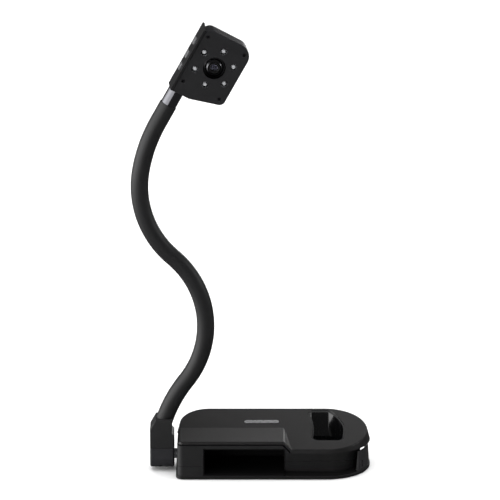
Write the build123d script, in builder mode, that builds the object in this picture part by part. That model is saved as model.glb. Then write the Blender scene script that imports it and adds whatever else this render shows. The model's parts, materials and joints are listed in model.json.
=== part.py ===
"""Document camera: a folding gooseneck arm with a lit camera head, on a base that stows the head.

Millimetres. +X runs along the base to its round end, +Y to the back, +Z up.
The origin is the middle of the face that the base rests on.
"""

import os
from math import cos, radians, sin, tan

from build123d import *

# ---- Base ----
BASE_LENGTH = 201.0
BASE_DEPTH = 93.0
BACK_CORNER = 34.0  # radius of the back left corner, seen from above
FRONT_CORNER = 7.0
MAT_PROUD = 0.6  # how far the rubber mat stands below the plate
MAT_RECESS = 0.6
PLATE_TOP = 3.9
SEAM = 14.4  # height of the joint between the two housings
FLANGE = 28.8  # underside of the cover's overhanging edge
WALL = 2.2

LEFT, RIGHT = -BASE_LENGTH / 2, BASE_LENGTH / 2
FRONT, BACK = -BASE_DEPTH / 2, BASE_DEPTH / 2

# ---- Core between plate and cover ----
CORE_LEFT = LEFT + 1.5
CORE_FACE = FRONT + 0.5  # front of the corner post and of the bay
CORE_FRONT = -31.0  # set-back front right of the bay
CORE_BACK = 28.0
CORE_TURN = 28.0  # corner radius that the folded arm goes round
CORE_END_X = 61.0  # centre of the round end
SHADOW_LINE = 0.4
SHADOW_DEPTH = 0.8

# ---- Bay for the camera head ----
BAY_LEFT, BAY_RIGHT = -72.5, 12.3
BAY_REAR = 14.0
BAY_TOP = 33.7
ROOF_TOP = 36.6  # top of the housing over the bay
LINER = 1.2

# ---- Cover ----
COVER_FRONT = 32.5  # height of the slope at the front edge
COVER_TILT = 9.5  # degrees
COVER_SKIN = 2.4
COVER_DRAFT = 15.0  # degrees that the skirt leans in
SHELF_TOP = 40.3  # level roof over the bay
SHELF_RIGHT = 11.0
SHELF_SLOPE = 45.0  # degrees, at the shelf's right side
SHELF_LIP = 37.8  # underside of the cover over the bay
EDGE_ROLL = 1.4  # rounding of the cover's upper edges

# ---- Carrying grip ----
GRIP_WALL = 1.8
GRIP_NECK = 24.0  # height where the grip's funnel turns into a straight well
GRIP_REAR_TOP = 37.5
GRIP_REAR_WELL = 22.0
FIT_GAP = 0.15  # left between fixed pieces that nest with curved walls

# ---- Fold pivot and arm foot ----
ARM_Y = -11.5  # the arm's middle plane
PIVOT_Z = 16.6
SHAFT_RADIUS = 5.2
RUNNING_GAP = 0.05
KNUCKLE_RADIUS = 14.0
FOOT_LEFT, FOOT_RIGHT = -127.4, -102.6
BOOT_BASE = 26.0
BOOT_TOP = 57.0
BOOT_HALF_DEPTH = 13.0

# ---- Gooseneck: turns (degrees, right is positive) and their radii, from the foot up ----
ARM_START = (-117.6, 34.0)
ARM_HEADING = 10.3  # degrees from upright
ARM_BENDS = ((27.4, 143.7), (-86.3, 97.5), (58.2, 99.1), (19.5, 161.6), (0.0, 21.5))
SLEEVE_RADIUS = 9.0
CORE_RADIUS = 4.2
SEGMENTS = 8
BALL_RADIUS = 8.8  # rounded end of one length of sleeve
CUP_RADIUS = 9.3  # hollow end of the next

# ---- Neck ----
NECK_RADIUS = 8.3
NECK_BORE = 2.6
NECK_BURIED = 12.0
SPIGOT_RADIUS = 3.8
COLLAR_RADIUS = 5.0

# ---- Head, in its own frame: x across, y up the neck, z out of the face ----
LENS_ALONG_NECK = 56.6  # from the end of the sleeve
LENS_FROM_NECK = 20.5
HEAD_TURN = 6.4  # degrees that the head is swivelled to the right
HEAD_LEFT, HEAD_RIGHT = -26.4, 26.8
HEAD_BOTTOM, HEAD_TOP = -40.0, 33.8
BOTTOM_SLOPE_START, BOTTOM_SLOPE_END = -7.0, -30.8  # across where it starts, height where it ends
HEAD_FACE, HEAD_SPLIT, HEAD_REAR = 11.0, 4.0, -11.0
HEAD_WALL = 1.8
LAMP_CIRCLE = 19.4
LAMP_RADIUS = 2.3
LAMP_HOLE = 3.9
LENS_HOLE = 11.5
SCREW_SPOTS = ((-21.5, 25.8), (20.0, 25.8), (-21.5, -26.0), (20.0, -26.0))
PLATE_THICK = 2.1
BUTTON_HEIGHTS = (13.6, -2.2, -16.2)
BUTTON_SIZE = (8.6, 7.6)
BUTTON_PROUD = 1.3
BUTTON_MIDDLE = -1.5
BUTTON_BACK = -27.4
BUTTON_BOARD = -22.6

os.makedirs("parts", exist_ok=True)


def save(builder, name):
    """Label a finished piece and write it."""
    builder.part.label = name
    export_step(builder.part, f"parts/{name}.step")


def cover_height(y):
    """Height of the cover's slope at a distance from the middle."""
    return COVER_FRONT + (y - FRONT) * tan(radians(COVER_TILT))


# ---------------------------------------------------------------- outlines seen from above
def base_outline(inset=0.0):
    """Edge of the base: square at the left, round at the right."""
    left, right, back = LEFT + inset, RIGHT - inset, BACK - inset
    far, near = BACK_CORNER - inset, max(FRONT_CORNER - inset, 1.0)
    middle = right - back
    with BuildSketch() as outline:
        with BuildLine():
            Line((left + near, -back), (middle, -back))
            CenterArc((middle, 0), back, -90, 180)
            Line((middle, back), (left + far, back))
            CenterArc((left + far, back - far), far, 90, 90)
            Line((left, back - far), (left, -back + near))
            CenterArc((left + near, -back + near), near, 180, 90)
        make_face()
    return outline.sketch


def core_outline(inset=0.0):
    """Edge of the housings, with the head bay still filled in."""
    left, face = CORE_LEFT + inset, CORE_FACE + inset
    step, front, back = BAY_RIGHT - inset, CORE_FRONT + inset, CORE_BACK - inset
    end_radius = (back - front) / 2
    turn, near = CORE_TURN - inset, max(FRONT_CORNER - 1 - inset, 1.0)
    with BuildSketch() as outline:
        with BuildLine():
            Line((left + near, face), (step, face))
            Line((step, face), (step, front))
            Line((step, front), (CORE_END_X, front))
            CenterArc((CORE_END_X, (front + back) / 2), end_radius, -90, 180)
            Line((CORE_END_X, back), (left + turn, back))
            CenterArc((left + turn, back - turn), turn, 90, 90)
            Line((left, back - turn), (left, face + near))
            CenterArc((left + near, face + near), near, 180, 90)
        make_face()
    return outline.sketch


def bay_outline(grow=0.0):
    """The head bay, open to the front."""
    with BuildSketch() as outline:
        with Locations(((BAY_LEFT + BAY_RIGHT) / 2, CORE_FACE - 1)):
            Rectangle(
                BAY_RIGHT - BAY_LEFT + 2 * grow,
                BAY_REAR + grow - CORE_FACE + 1,
                align=(Align.CENTER, Align.MIN),
            )
    return outline.sketch


def grip_outline(back, grow=0.0):
    """The grip hole: hollow side to the left, bulging side to the right."""
    left, right, front, rear = 36.0 - grow, 74.0 + grow, -26.0 - grow, back + grow
    middle = (front + rear) / 2
    with BuildSketch() as outline:
        with BuildLine():
            Line((left, rear), (right - 15, rear))
            ThreePointArc((right - 15, rear), (right - 3.6, middle + 12), (right, middle - 10))
            Line((right, middle - 10), (right - 1.5, front))
            Line((right - 1.5, front), (left + 2.5, front))
            ThreePointArc((left + 2.5, front), (left + 4.6, middle - 2), (left, rear))
        make_face()
        front_corners = outline.vertices().filter_by(lambda corner: corner.Y < front + 1)
        fillet(front_corners, radius=7.0 + grow)
        fillet(outline.vertices().filter_by(lambda corner: corner.Y > rear - 1), radius=5.0 + grow)
    return outline.sketch


def grip_form(grow, low, high):
    """The space of the carrying grip: a straight well with a funnel above it that leans back."""
    funnel_top = cover_height(BACK)
    with BuildPart() as form:
        with BuildSketch(Plane.XY.offset(low)):
            add(grip_outline(GRIP_REAR_WELL, grow))
        extrude(amount=GRIP_NECK - low)
        if high > GRIP_NECK:
            with BuildSketch(Plane.XY.offset(GRIP_NECK)):
                add(grip_outline(GRIP_REAR_WELL, grow))
            with BuildSketch(Plane.XY.offset(funnel_top)):
                add(grip_outline(GRIP_REAR_TOP, grow + 0.4))
            loft(ruled=True)
    return form.part


# ---------------------------------------------------------------- base
with BuildPart() as base_mat:
    with BuildSketch():
        add(base_outline(8))
        add(grip_outline(GRIP_REAR_WELL, 5), mode=Mode.SUBTRACT)
    extrude(amount=MAT_PROUD + MAT_RECESS)
save(base_mat, "base_mat")

PLATE_SCREWS = ((-86, -38), (-86, 5), (-50, 21), (24, 21), (26, -26), (82, 4))
with BuildPart() as bottom_plate:
    with BuildSketch(Plane.XY.offset(MAT_PROUD)):
        add(base_outline())
    extrude(amount=PLATE_TOP - MAT_PROUD)
    rim = bottom_plate.faces().sort_by(Axis.Z)
    chamfer(rim[0].edges(), length=0.5)
    fillet(bottom_plate.faces().sort_by(Axis.Z)[-1].edges(), radius=0.8)
    with BuildSketch(Plane.XY.offset(MAT_PROUD)):
        add(base_outline(8))
    extrude(amount=MAT_RECESS, mode=Mode.SUBTRACT)
    with BuildSketch(Plane.XY):
        add(grip_outline(GRIP_REAR_WELL, FIT_GAP))
        with Locations(*PLATE_SCREWS):
            Circle(1.7)
    extrude(amount=PLATE_TOP, mode=Mode.SUBTRACT)
save(bottom_plate, "bottom_plate")

with BuildPart() as base_screws:
    with Locations(*[(x, y, MAT_PROUD + MAT_RECESS + 0.1) for x, y in PLATE_SCREWS]):
        Cylinder(1.5, 9.0, align=(Align.CENTER, Align.CENTER, Align.MIN))
save(base_screws, "base_screws")

PORT_X, PORT_Z = 24.0, 18.6
PORT_WIDTH, PORT_HEIGHT = 9.2, 5.0

with BuildPart() as lower_housing:
    with BuildSketch(Plane.XY.offset(PLATE_TOP)):
        add(core_outline())
        add(bay_outline(), mode=Mode.SUBTRACT)
    extrude(amount=SEAM - PLATE_TOP)
    with BuildSketch(Plane.XY.offset(PLATE_TOP + WALL)):
        add(core_outline(WALL))
        add(bay_outline(WALL), mode=Mode.SUBTRACT)
        add(grip_outline(GRIP_REAR_WELL, WALL), mode=Mode.SUBTRACT)
        with Locations(*PLATE_SCREWS):
            Circle(3.2, mode=Mode.SUBTRACT)
    extrude(amount=SEAM, mode=Mode.SUBTRACT)
    add(grip_form(FIT_GAP, PLATE_TOP - 1, GRIP_NECK), mode=Mode.SUBTRACT)
    with BuildSketch(Plane.XY.offset(PLATE_TOP)):
        with Locations(*PLATE_SCREWS):
            Circle(1.55)
    extrude(amount=7.5, mode=Mode.SUBTRACT)
    # shadow line at the joint between the housings
    with BuildSketch(Plane.XY.offset(SEAM - SHADOW_LINE)):
        add(core_outline(-1))
        add(core_outline(SHADOW_DEPTH), mode=Mode.SUBTRACT)
    extrude(amount=SHADOW_LINE, mode=Mode.SUBTRACT)
    with BuildSketch(Plane.YZ.offset(CORE_LEFT - 1)):
        with Locations((ARM_Y, PIVOT_Z)):
            Circle(SHAFT_RADIUS + 0.6)
    extrude(amount=WALL + 2, mode=Mode.SUBTRACT)
save(lower_housing, "lower_housing")

ROOF_BACK = BAY_REAR + WALL
ROOF_RIGHT = SHELF_RIGHT - 1.8
with BuildPart() as upper_housing:
    # raised block over the bay, with a sloping right end under the cover's slope
    with BuildSketch(Plane.XZ.offset(-ROOF_BACK)):
        with BuildLine():
            Polyline(
                (CORE_LEFT, FLANGE),
                (CORE_LEFT, ROOF_TOP),
                (ROOF_RIGHT, ROOF_TOP),
                (ROOF_RIGHT + ROOF_TOP - FLANGE, FLANGE),
                close=True,
            )
        make_face()
    extrude(amount=ROOF_BACK - CORE_FACE)
    with BuildSketch(Plane.XY.offset(FLANGE)):
        add(core_outline())
        with Locations((BAY_RIGHT, CORE_FACE)):
            Rectangle(10, 40, align=Align.MIN)
    extrude(amount=ROOF_TOP - FLANGE, mode=Mode.INTERSECT)
    with BuildSketch(Plane.XY.offset(SEAM)):
        add(core_outline())
    extrude(amount=FLANGE - SEAM)
    with BuildSketch(Plane.XY.offset(SEAM)):
        add(bay_outline())
    extrude(amount=BAY_TOP - SEAM, mode=Mode.SUBTRACT)
    with BuildSketch(Plane.XY.offset(SEAM)):
        add(core_outline(WALL))
        add(bay_outline(WALL), mode=Mode.SUBTRACT)
        add(grip_outline(GRIP_REAR_WELL, WALL), mode=Mode.SUBTRACT)
    extrude(amount=ROOF_TOP - WALL - SEAM, mode=Mode.SUBTRACT)
    add(grip_form(FIT_GAP, SEAM - 1, FLANGE), mode=Mode.SUBTRACT)
    with BuildSketch(Plane.YZ.offset(CORE_LEFT - 1)):
        with Locations((ARM_Y, PIVOT_Z)):
            Circle(SHAFT_RADIUS + 0.6)
    extrude(amount=WALL + 2, mode=Mode.SUBTRACT)
    with BuildSketch(Plane.XZ.offset(-CORE_BACK - 1)):
        with Locations((PORT_X, PORT_Z)):
            Rectangle(PORT_WIDTH + 0.4, PORT_HEIGHT + 0.4)
    extrude(amount=WALL + 2, mode=Mode.SUBTRACT)
save(upper_housing, "upper_housing")


def cover_form(skin, bottom):
    """The cover's outer form, or its hollow when skin is above zero."""
    with BuildPart() as form:
        with BuildSketch(Plane.YZ.offset(LEFT)):
            with BuildLine():
                Polyline(
                    (FRONT, bottom - 1),
                    (FRONT, cover_height(FRONT) - skin),
                    (BACK, cover_height(BACK) - skin),
                    (BACK, bottom - 1),
                    close=True,
                )
            make_face()
        extrude(amount=BASE_LENGTH)
        with BuildSketch(Plane.XY.offset(SHELF_TOP - skin)) as shelf:
            with Locations((SHELF_RIGHT, 4.0)):
                Rectangle(120, 80, align=(Align.MAX, Align.MAX))
            fillet(shelf.vertices().sort_by(Axis.X)[-2:], radius=9)
        extrude(amount=-(SHELF_TOP - skin - bottom), taper=-SHELF_SLOPE)
        with BuildSketch(Plane.XY.offset(bottom)):
            add(base_outline(skin))
        extrude(amount=BASE_DEPTH / 3, taper=COVER_DRAFT, mode=Mode.INTERSECT)
    return form.part


BADGE_Y = 13.0
BADGE_PLANE = Plane(
    origin=(-12.0, BADGE_Y, cover_height(BADGE_Y)),
    x_dir=(1, 0, 0),
    z_dir=(0, -sin(radians(COVER_TILT)), cos(radians(COVER_TILT))),
)

with BuildPart() as top_cover:
    add(cover_form(0.0, FLANGE))
    # the edges of the level shelf and the slope are rolled, and the shallow crease between them isn't
    shelf_top, slope_top = top_cover.faces().filter_by(lambda face: face.normal_at().Z > 0.9)
    rims = shelf_top.edges() + slope_top.edges()
    creases = [edge for edge in shelf_top.edges() if any(edge.is_same(other) for other in slope_top.edges())]
    fillet([edge for edge in rims if not any(edge.is_same(line) for line in creases)], radius=EDGE_ROLL)
    add(grip_form(FIT_GAP, FLANGE - 5, BASE_DEPTH), mode=Mode.SUBTRACT)
    add(cover_form(COVER_SKIN, FLANGE + WALL), mode=Mode.SUBTRACT)
    # way up from the housings into the hollow
    with BuildSketch(Plane.XY.offset(FLANGE)):
        add(core_outline(WALL))
    extrude(amount=WALL, mode=Mode.SUBTRACT)
    # room for the raised block over the bay
    with BuildSketch(Plane.XZ.offset(-ROOF_BACK - 0.4)):
        with BuildLine():
            Polyline(
                (LEFT - 1, FLANGE - 1),
                (LEFT - 1, SHELF_LIP),
                (SHELF_RIGHT - 0.9, SHELF_LIP),
                (SHELF_RIGHT - 0.9 + SHELF_LIP - FLANGE + 1, FLANGE - 1),
                close=True,
            )
        make_face()
    extrude(amount=BASE_DEPTH, mode=Mode.SUBTRACT)
    with BuildSketch(BADGE_PLANE):
        SlotOverall(36.4, 6.4)
    extrude(amount=-0.5, mode=Mode.SUBTRACT)
save(top_cover, "top_cover")

with BuildPart() as badge_inlay:
    with BuildSketch(BADGE_PLANE.offset(-0.5)):
        SlotOverall(36.0, 6.0)
    extrude(amount=0.7)
    fillet(badge_inlay.faces().sort_by(Axis.Z)[-1].edges(), radius=0.2)
save(badge_inlay, "badge_inlay")

with BuildPart() as grip_liner:
    add(grip_form(0.0, MAT_PROUD + 0.2, BASE_DEPTH))
    add(grip_form(-GRIP_WALL, 0.0, BASE_DEPTH), mode=Mode.SUBTRACT)
    with BuildSketch(Plane.YZ.offset(RIGHT - 80)):
        with BuildLine():
            Polyline(
                (FRONT, cover_height(FRONT) - 0.7),
                (BACK, cover_height(BACK) - 0.7),
                (BACK, BASE_DEPTH),
                (FRONT, BASE_DEPTH),
                close=True,
            )
        make_face()
    extrude(amount=80, mode=Mode.SUBTRACT)
save(grip_liner, "grip_liner")

LINER_MIDDLE = (BAY_LEFT + BAY_RIGHT) / 2
with BuildPart() as head_bay_liner:
    with BuildSketch(Plane.XY.offset(PLATE_TOP)):
        with Locations((LINER_MIDDLE, CORE_FACE + 0.6)):
            Rectangle(
                BAY_RIGHT - BAY_LEFT,
                BAY_REAR - CORE_FACE - 0.6,
                align=(Align.CENTER, Align.MIN),
            )
    extrude(amount=BAY_TOP - PLATE_TOP)
    with BuildSketch(Plane.XY.offset(PLATE_TOP + LINER)):
        with Locations((LINER_MIDDLE, CORE_FACE)):
            Rectangle(
                BAY_RIGHT - BAY_LEFT - 2 * LINER,
                BAY_REAR - CORE_FACE - LINER,
                align=(Align.CENTER, Align.MIN),
            )
        with Locations((LINER_MIDDLE, CORE_FACE)):
            Rectangle(60, CORE_FRONT - CORE_FACE, align=Align.MIN)
    extrude(amount=BAY_TOP - PLATE_TOP - 2 * LINER, mode=Mode.SUBTRACT)
save(head_bay_liner, "head_bay_liner")

GUARD_RADIUS = 45.6
GUARD_THICK = 3.2
GUARD_TOP = 24.8
GUARD_START, GUARD_END = -42.0, 18.0  # degrees round the base's end
SLOT_ANGLE = -33.0
ROUND_END_X = RIGHT - BACK
with BuildPart() as end_guard:
    with BuildSketch(Plane.XY.offset(PLATE_TOP)):
        with BuildLine():
            middle = Vector(ROUND_END_X, 0)
            CenterArc(middle, GUARD_RADIUS, GUARD_START, GUARD_END - GUARD_START)
            CenterArc(middle, GUARD_RADIUS - GUARD_THICK, GUARD_START, GUARD_END - GUARD_START)
            for angle in (GUARD_START, GUARD_END):
                reach = Vector(1, 0).rotate(Axis.Z, angle)
                Line(middle + reach * (GUARD_RADIUS - GUARD_THICK), middle + reach * GUARD_RADIUS)
        make_face()
    extrude(amount=GUARD_TOP - PLATE_TOP, taper=3)
    slot_way = Vector(cos(radians(SLOT_ANGLE)), sin(radians(SLOT_ANGLE)), 0)
    slot_spot = Vector(ROUND_END_X, 0, 10.5) + slot_way * (GUARD_RADIUS + 3)
    with BuildSketch(Plane(origin=slot_spot, x_dir=(-slot_way.Y, slot_way.X, 0), z_dir=slot_way)):
        SlotOverall(7.0, 3.2, rotation=90)
    extrude(amount=-10, mode=Mode.SUBTRACT)
save(end_guard, "end_guard")

BOARD_LOW, BOARD_HIGH = SEAM, SEAM + 1.6
with BuildPart() as main_circuit_board:
    with BuildSketch(Plane.XY.offset(BOARD_LOW)):
        with Locations((24.0, -1.5)):
            Rectangle(17.0, 52.0)
    extrude(amount=BOARD_HIGH - BOARD_LOW)
    with BuildSketch(Plane.XY.offset(BOARD_HIGH)):
        with Locations((24.0, -6.0)):
            Rectangle(9.0, 9.0)
        with Locations((20.0, 8.0), (28.0, 8.0), (22.0, -18.0)):
            Rectangle(4.0, 3.0)
    extrude(amount=1.0)
save(main_circuit_board, "main_circuit_board")

with BuildPart() as usb_socket:
    with BuildSketch(Plane.XZ.offset(-CORE_BACK + 0.2)):
        with Locations((PORT_X, PORT_Z)):
            RectangleRounded(PORT_WIDTH, PORT_HEIGHT, 0.8)
            RectangleRounded(PORT_WIDTH - 1.0, PORT_HEIGHT - 1.0, 0.5, mode=Mode.SUBTRACT)
    extrude(amount=9.0)
    with BuildSketch(Plane.XZ.offset(-CORE_BACK + 8.2)):
        with Locations((PORT_X, PORT_Z)):
            Rectangle(PORT_WIDTH, PORT_HEIGHT)
    extrude(amount=1.0)
    with BuildSketch(Plane.XZ.offset(-CORE_BACK + 1.6)):
        with Locations((PORT_X, PORT_Z)):
            Rectangle(PORT_WIDTH - 3.2, 1.0)
    extrude(amount=7.0)
save(usb_socket, "usb_socket")

with BuildPart() as counterweight:
    with Locations((24.0, -2.5, PLATE_TOP + WALL)):
        Box(17.0, 34.0, 7.6, align=(Align.CENTER, Align.CENTER, Align.MIN))
    chamfer(counterweight.edges().filter_by(Axis.Z), length=1.0)
save(counterweight, "counterweight")

# ---------------------------------------------------------------- fold pivot
PIVOT = Plane(origin=(0, ARM_Y, PIVOT_Z), x_dir=(0, 1, 0), z_dir=(1, 0, 0))
BUSH_RADIUS = 7.2
BUSH_START, BUSH_END = -96.6, -87.4


def ring(outer, inner, start, end):
    """A ring on the pivot's axis."""
    with BuildPart() as turned:
        with BuildSketch(PIVOT.offset(start)):
            Circle(outer)
            Circle(inner, mode=Mode.SUBTRACT)
        extrude(amount=end - start)
    return turned.part


with BuildPart() as pivot_bush:
    add(ring(BUSH_RADIUS, SHAFT_RADIUS + RUNNING_GAP, BUSH_START, BUSH_END))
save(pivot_bush, "pivot_bush")

with BuildPart() as pivot_bracket:
    with BuildSketch(PIVOT.offset(BUSH_START)):
        Rectangle(17.0, 2 * (PIVOT_Z - PLATE_TOP - WALL))
        Circle(BUSH_RADIUS, mode=Mode.SUBTRACT)
    extrude(amount=BUSH_END - BUSH_START)
save(pivot_bracket, "pivot_bracket")

with BuildPart() as pivot_shaft:
    with BuildSketch(PIVOT.offset(-122.0)):
        Circle(SHAFT_RADIUS)
    extrude(amount=44.0)
    chamfer(pivot_shaft.faces().sort_by(Axis.X)[-1].edges(), length=0.8)
save(pivot_shaft, "pivot_shaft")

with BuildPart() as friction_washers:
    for count in range(3):
        start = BUSH_END + 0.2 + 0.9 * count
        add(ring(8.6, SHAFT_RADIUS + 0.1, start, start + 0.8))
save(friction_washers, "friction_washers")

with BuildPart() as pivot_nut:
    with BuildSketch(PIVOT.offset(BUSH_END + 3.0)):
        RegularPolygon(8.6, 6)
        Circle(SHAFT_RADIUS + 0.03, mode=Mode.SUBTRACT)
    extrude(amount=5.4)
save(pivot_nut, "pivot_nut")

# ---------------------------------------------------------------- arm foot
FOOT_SCREWS = [(-115.5, ARM_Y - 8.0), (-115.5, ARM_Y + 8.0)]
with BuildPart() as foot_knuckle:
    with BuildSketch(PIVOT.offset(FOOT_LEFT)):
        Circle(KNUCKLE_RADIUS)
        with Locations((0, (BOOT_BASE - PIVOT_Z) / 2)):
            Rectangle(2 * KNUCKLE_RADIUS, BOOT_BASE - PIVOT_Z)
        with Locations((0, BOOT_BASE - PIVOT_Z)):
            Rectangle(
                2 * KNUCKLE_RADIUS, KNUCKLE_RADIUS, align=(Align.CENTER, Align.MIN), mode=Mode.SUBTRACT
            )
    extrude(amount=FOOT_RIGHT - FOOT_LEFT)
    ends = foot_knuckle.faces().filter_by(Axis.X)
    chamfer(ends.edges().filter_by(lambda e: e.center().Z < BOOT_BASE - 1), length=1.2)
    with BuildSketch(PIVOT.offset(-122.0)):
        Circle(SHAFT_RADIUS + 0.03)
    extrude(amount=40, mode=Mode.SUBTRACT)
    with BuildSketch(Plane.XY):
        with Locations(*FOOT_SCREWS):
            Circle(1.6)
    extrude(amount=BOOT_BASE, mode=Mode.SUBTRACT)
    with BuildSketch(Plane.XY):
        with Locations(*FOOT_SCREWS):
            Circle(2.9)
    extrude(amount=12.0, mode=Mode.SUBTRACT)
save(foot_knuckle, "foot_knuckle")


def arm_place(distance):
    """Place and heading on the arm's centre line, at a distance along it from the foot."""
    x, z = ARM_START
    heading = radians(ARM_HEADING)
    for turn, size in ARM_BENDS:
        side = (turn > 0) - (turn < 0)
        run = min(distance, size * (radians(abs(turn)) if side else 1))
        if side:
            swing = side * run / size
            x += side * size * (cos(heading) - cos(heading + swing))
            z += side * size * (sin(heading + swing) - sin(heading))
            heading += swing
        else:
            x += run * sin(heading)
            z += run * cos(heading)
        distance -= run
    return x, z, heading


def arm_point(distance):
    """Point on the arm's centre line."""
    x, z, heading = arm_place(distance)
    return Vector(x, ARM_Y, z)


def arm_plane(distance):
    """Plane square to the arm's centre line."""
    x, z, heading = arm_place(distance)
    return Plane(
        origin=(x, ARM_Y, z),
        x_dir=(cos(heading), 0, -sin(heading)),
        z_dir=(sin(heading), 0, cos(heading)),
    )


STRETCHES = [size * (radians(abs(turn)) if turn else 1) for turn, size in ARM_BENDS]
ARM_LENGTH = sum(STRETCHES)
BEND_ENDS = [sum(STRETCHES[:count]) for count in range(1, len(STRETCHES))]


def arm_run(start, end):
    """Draw the centre line between two distances, as arcs and straight runs."""
    stops = [start] + [stop for stop in BEND_ENDS if start + 0.1 < stop < end - 0.1] + [end]
    for low, high in zip(stops, stops[1:]):
        if (low + high) / 2 > BEND_ENDS[-1]:
            Line(arm_point(low), arm_point(high))
        else:
            ThreePointArc(arm_point(low), arm_point((low + high) / 2), arm_point(high))


def arm_rod(radius, start, end):
    """A round rod along the arm's centre line."""
    with BuildPart() as rod:
        with BuildLine():
            arm_run(start, end)
        with BuildSketch(arm_plane(start)):
            Circle(radius)
        sweep()
    return rod.part


with BuildPart() as foot_boot:
    with BuildSketch(Plane.XZ.offset(-ARM_Y - BOOT_HALF_DEPTH)):
        with BuildLine():
            Polyline(
                (FOOT_LEFT, BOOT_BASE),
                (FOOT_LEFT, 46.5),
                (-121.5, BOOT_TOP),
                (FOOT_RIGHT - 2.2, BOOT_TOP),
                (FOOT_RIGHT - 2.2, 42.5),
                (FOOT_RIGHT, 40.5),
                (FOOT_RIGHT, BOOT_BASE),
                close=True,
            )
        make_face()
    extrude(amount=2 * BOOT_HALF_DEPTH)
    rounded = foot_boot.edges().filter_by(lambda e: e.center().Z > BOOT_BASE + 1)
    fillet(rounded, radius=0.9)
    add(arm_rod(SLEEVE_RADIUS + FIT_GAP, 0, 36), mode=Mode.SUBTRACT)
    with BuildSketch(Plane.XY.offset(BOOT_BASE)):
        with Locations(*FOOT_SCREWS):
            Circle(1.55)
    extrude(amount=9, mode=Mode.SUBTRACT)
save(foot_boot, "foot_boot")

with BuildPart() as foot_screws:
    with Locations(*[(x, y, 12.0) for x, y in FOOT_SCREWS]):
        Cylinder(1.5, 20.5, align=(Align.CENTER, Align.CENTER, Align.MIN))
    with Locations(*[(x, y, 9.4) for x, y in FOOT_SCREWS]):
        Cylinder(2.7, 2.6, align=(Align.CENTER, Align.CENTER, Align.MIN))
save(foot_screws, "foot_screws")

# ---------------------------------------------------------------- gooseneck
STEP_LENGTH = ARM_LENGTH / SEGMENTS
for number in range(1, SEGMENTS + 1):
    start, end = (number - 1) * STEP_LENGTH, number * STEP_LENGTH
    last = number == SEGMENTS
    core_end = end - NECK_BURIED if last else end

    with BuildPart() as core:
        add(arm_rod(CORE_RADIUS, start, core_end))
        if not last:
            with BuildSketch(arm_plane(end)):
                Circle(CORE_RADIUS)
            extrude(amount=BALL_RADIUS - 1.6)
        if number > 1:
            with Locations(arm_point(start)):
                Sphere(CUP_RADIUS, mode=Mode.SUBTRACT)
    save(core, f"core_{number}")

    with BuildPart() as sleeve:
        add(arm_rod(SLEEVE_RADIUS, start, end))
        if last:
            with BuildSketch(arm_plane(core_end)):
                Circle(NECK_RADIUS)
            extrude(amount=NECK_BURIED + 1, mode=Mode.SUBTRACT)
        else:
            with Locations(arm_point(end)):
                Sphere(BALL_RADIUS)
        if number > 1:
            with Locations(arm_point(start)):
                Sphere(CUP_RADIUS, mode=Mode.SUBTRACT)
        add(core.part, mode=Mode.SUBTRACT)
    save(sleeve, f"sleeve_{number}")
    if not last:
        spot = arm_point(end)
        print(f"bend {number}: {spot.X:.3f} {spot.Y:.3f} {spot.Z:.3f} heading {arm_place(end)[2]:.5f}")

# ---------------------------------------------------------------- neck and head frame
neck_end_x, neck_end_z, tilt = arm_place(ARM_LENGTH)
UP = Vector(sin(tilt), 0, cos(tilt))
turned = radians(HEAD_TURN)
ACROSS = Vector(cos(tilt) * cos(turned), sin(turned), -sin(tilt) * cos(turned))
OUTWARD = ACROSS.cross(UP)
LENS = Vector(neck_end_x, ARM_Y, neck_end_z) + UP * LENS_ALONG_NECK + ACROSS * LENS_FROM_NECK
HEAD = Plane(origin=LENS, x_dir=ACROSS, z_dir=OUTWARD)


def head_side(x):
    """Plane at a distance across the head that looks out of its left side: face side right, up up."""
    return Plane(origin=HEAD.from_local_coords((x, 0, 0)), x_dir=OUTWARD, z_dir=-ACROSS)


def neck_plane(y):
    """Plane square to the neck, at a height in the head's frame."""
    return Plane(origin=HEAD.from_local_coords((-LENS_FROM_NECK, y, 0)), x_dir=ACROSS, z_dir=UP)


NECK_TOP = HEAD_BOTTOM - 0.3
SPIGOT_LENGTH = 7.3
COLLAR_LENGTH = 3.4
with BuildPart() as neck_tube:
    with BuildSketch(neck_plane(-LENS_ALONG_NECK - NECK_BURIED)):
        Circle(NECK_RADIUS)
    extrude(amount=NECK_TOP + LENS_ALONG_NECK + NECK_BURIED)
    with BuildSketch(neck_plane(NECK_TOP)):
        Circle(SPIGOT_RADIUS)
    extrude(amount=SPIGOT_LENGTH)
    with BuildSketch(neck_plane(-LENS_ALONG_NECK - NECK_BURIED)):
        Circle(NECK_BORE)
    extrude(amount=60, mode=Mode.SUBTRACT)
save(neck_tube, "neck_tube")

with BuildPart() as swivel_clip:
    with BuildSketch(neck_plane(HEAD_BOTTOM + HEAD_WALL + COLLAR_LENGTH + 0.25)):
        Circle(COLLAR_RADIUS - 0.2)
        Circle(SPIGOT_RADIUS + 0.02, mode=Mode.SUBTRACT)
    extrude(amount=1.2)
save(swivel_clip, "swivel_clip")

with BuildPart() as swivel_collar:
    with BuildSketch(neck_plane(HEAD_BOTTOM + HEAD_WALL)):
        Circle(COLLAR_RADIUS)
        Circle(SPIGOT_RADIUS + RUNNING_GAP, mode=Mode.SUBTRACT)
    extrude(amount=COLLAR_LENGTH)
save(swivel_collar, "swivel_collar")


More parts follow.
